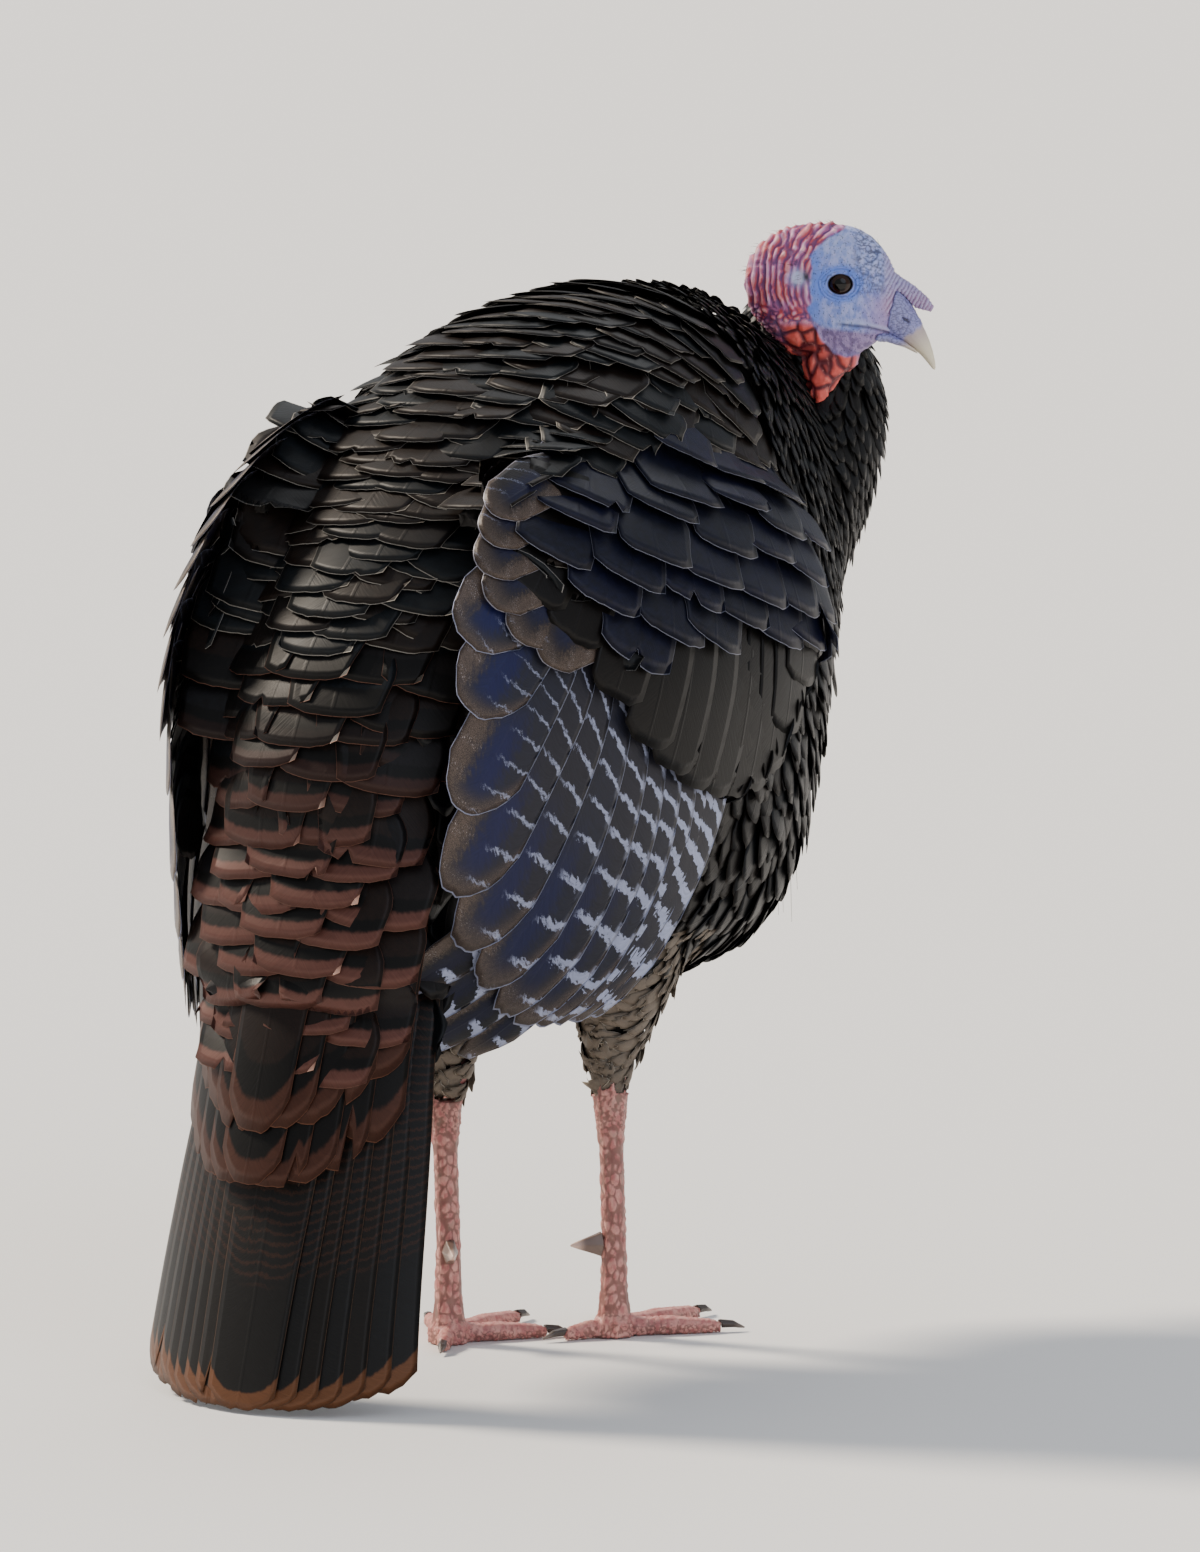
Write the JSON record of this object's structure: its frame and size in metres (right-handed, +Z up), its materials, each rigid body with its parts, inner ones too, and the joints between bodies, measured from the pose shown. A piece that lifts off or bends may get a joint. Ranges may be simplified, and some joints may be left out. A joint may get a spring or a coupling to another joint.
{
  "type": "wild turkey",
  "caption": "Life-size adult male wild turkey standing hunched, head turned to its right, closed tail resting on the floor; a still model without joints.",
  "frame": {"origin": "centre of the bounding box at floor level, under the belly; both feet and the tip of the tail stand at Z = 0", "axes": "-Y ahead of the bird, from tail to breast; -X to the bird's right; +Z up"},
  "size_m": [0.3217, 0.6223, 0.6591],
  "materials": {
    "body_feathers": "black contour feathers with a bronze and green sheen",
    "thigh_feathers": "grey-brown feathers with pale edges",
    "flight_feathers": "slate-brown vanes barred with white",
    "tail_feathers": "dark chestnut vanes with a black band and a buff tip",
    "beard_bristles": "coarse black bristles",
    "head_skin": "bare bluish skin with reddish warts",
    "wattle_skin": "bare red skin",
    "bill_horn": "smooth pale horn",
    "eye": "wet dark brown",
    "leg_scales": "pinkish red scales",
    "claw_horn": "dark horn"
  },
  "bodies": {
    "root": {"trunk": "body_feathers", "neck": "body_feathers", "thigh_left": "thigh_feathers", "thigh_right": "thigh_feathers", "wing_left_coverts": "body_feathers", "wing_right_coverts": "body_feathers", "wing_left_secondaries": "flight_feathers", "wing_right_secondaries": "flight_feathers", "wing_left_primaries": "flight_feathers", "wing_right_primaries": "flight_feathers", "tail": "tail_feathers", "tail_coverts_long": "tail_feathers", "tail_coverts_short": "body_feathers", "beard": "beard_bristles", "head": "head_skin", "snood": "head_skin", "wattle": "wattle_skin", "bill_upper": "bill_horn", "bill_lower": "bill_horn", "eye_left": "eye", "eye_right": "eye", "shank_left": "leg_scales", "shank_right": "leg_scales", "foot_left": "leg_scales", "foot_right": "leg_scales", "spur_left": "claw_horn", "spur_right": "claw_horn", "claw_left_middle": "claw_horn", "claw_left_inner": "claw_horn", "claw_left_outer": "claw_horn", "claw_left_hind": "claw_horn", "claw_right_middle": "claw_horn", "claw_right_inner": "claw_horn", "claw_right_outer": "claw_horn", "claw_right_hind": "claw_horn"}
  },
  "joints": []
}
